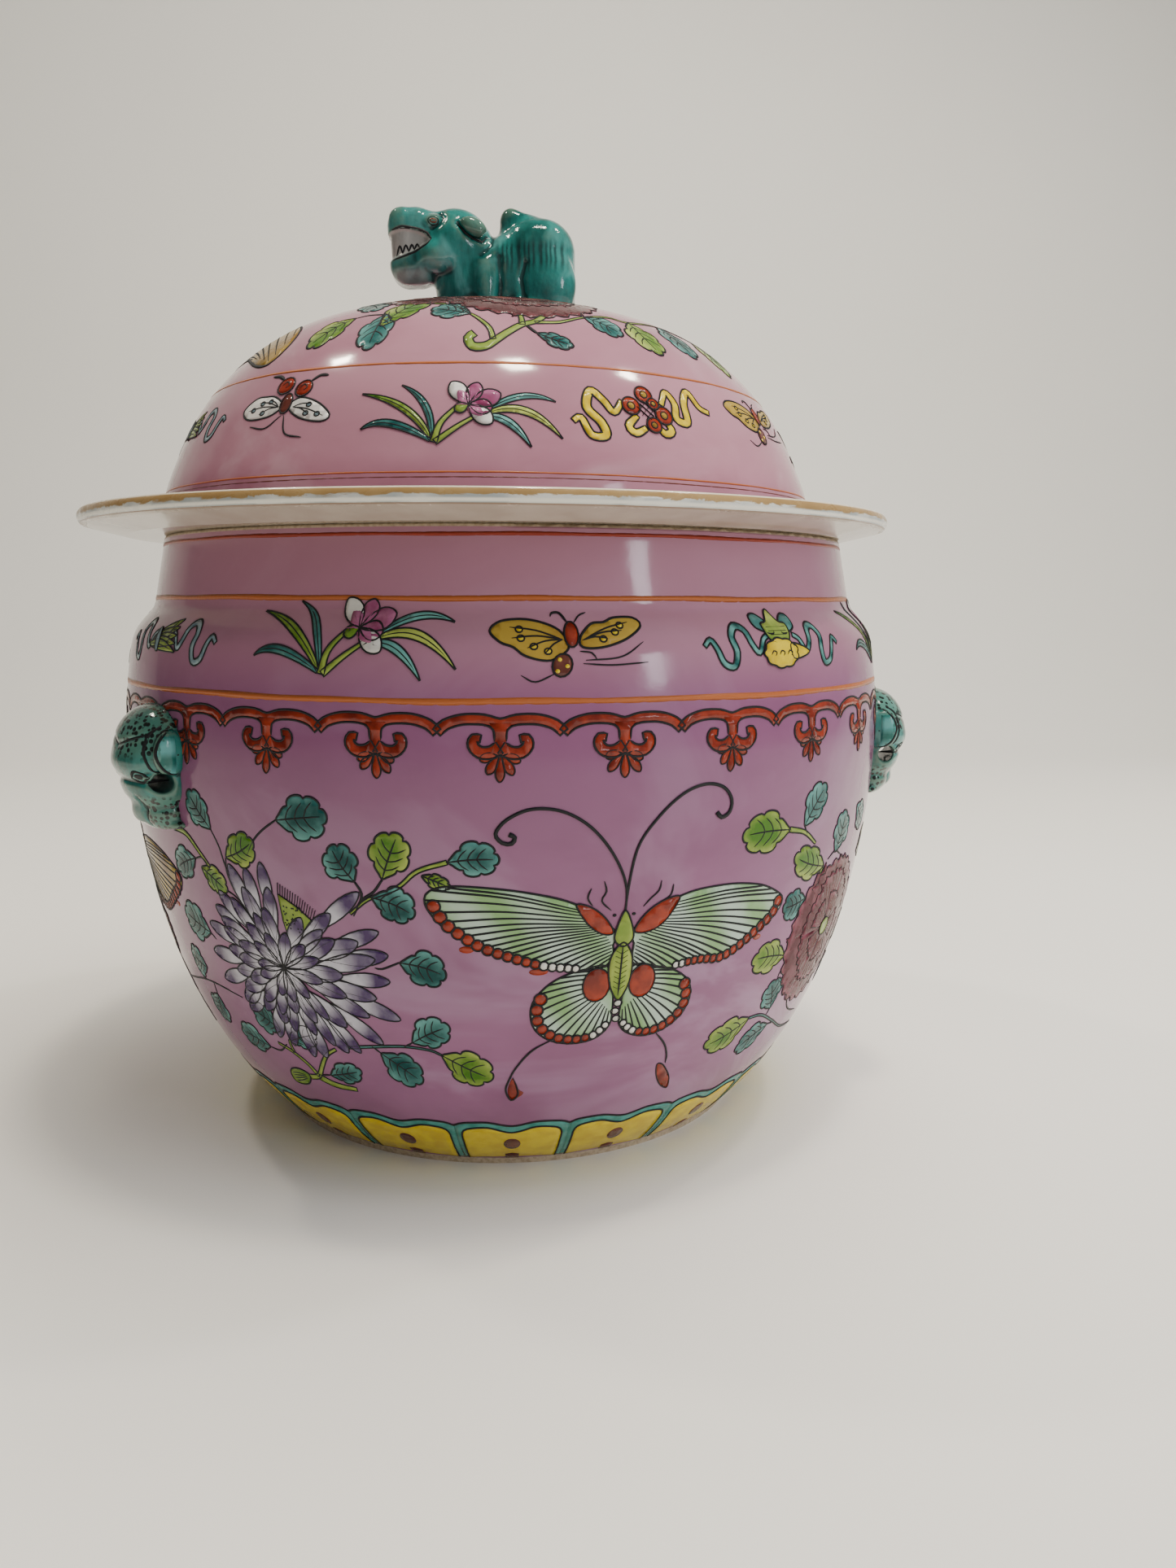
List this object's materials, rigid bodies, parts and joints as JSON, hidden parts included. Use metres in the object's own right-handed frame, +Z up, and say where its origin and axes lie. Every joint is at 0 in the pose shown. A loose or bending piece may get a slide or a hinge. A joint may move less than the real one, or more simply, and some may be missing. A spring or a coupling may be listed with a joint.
{
  "type": "covered jar",
  "caption": "Round covered porcelain jar with a straight neck, a brimmed domed lid under a crouching lion finial, and pierced mask lugs in two pairs.",
  "frame": {"origin": "centre of the foot ring's resting face, on the jar's axis", "axes": "+Z up along the jar's axis; -Y towards the painted front; the lion on the lid faces -X"},
  "size_m": [0.27, 0.2614, 0.2934],
  "materials": {
    "pink_enamelled_porcelain": "gloss",
    "green_glazed_porcelain": "gloss",
    "white_glazed_porcelain": "gloss",
    "painted_enamels": "gloss"
  },
  "bodies": {
    "jar": {"jar_body": "pink_enamelled_porcelain", "mask_lug_right_front": "green_glazed_porcelain", "mask_lug_right_back": "green_glazed_porcelain", "mask_lug_left_back": "green_glazed_porcelain", "mask_lug_left_front": "green_glazed_porcelain"},
    "lid": {"lid_shell": "pink_enamelled_porcelain", "lid_locating_ring": "white_glazed_porcelain", "lion_finial": "green_glazed_porcelain"}
  },
  "joints": [
    {"name": "lid_lift", "type": "slide", "parent": "jar", "child": "lid", "axis": [0, 0, 1], "range_m": [0, 0.12]}
  ]
}
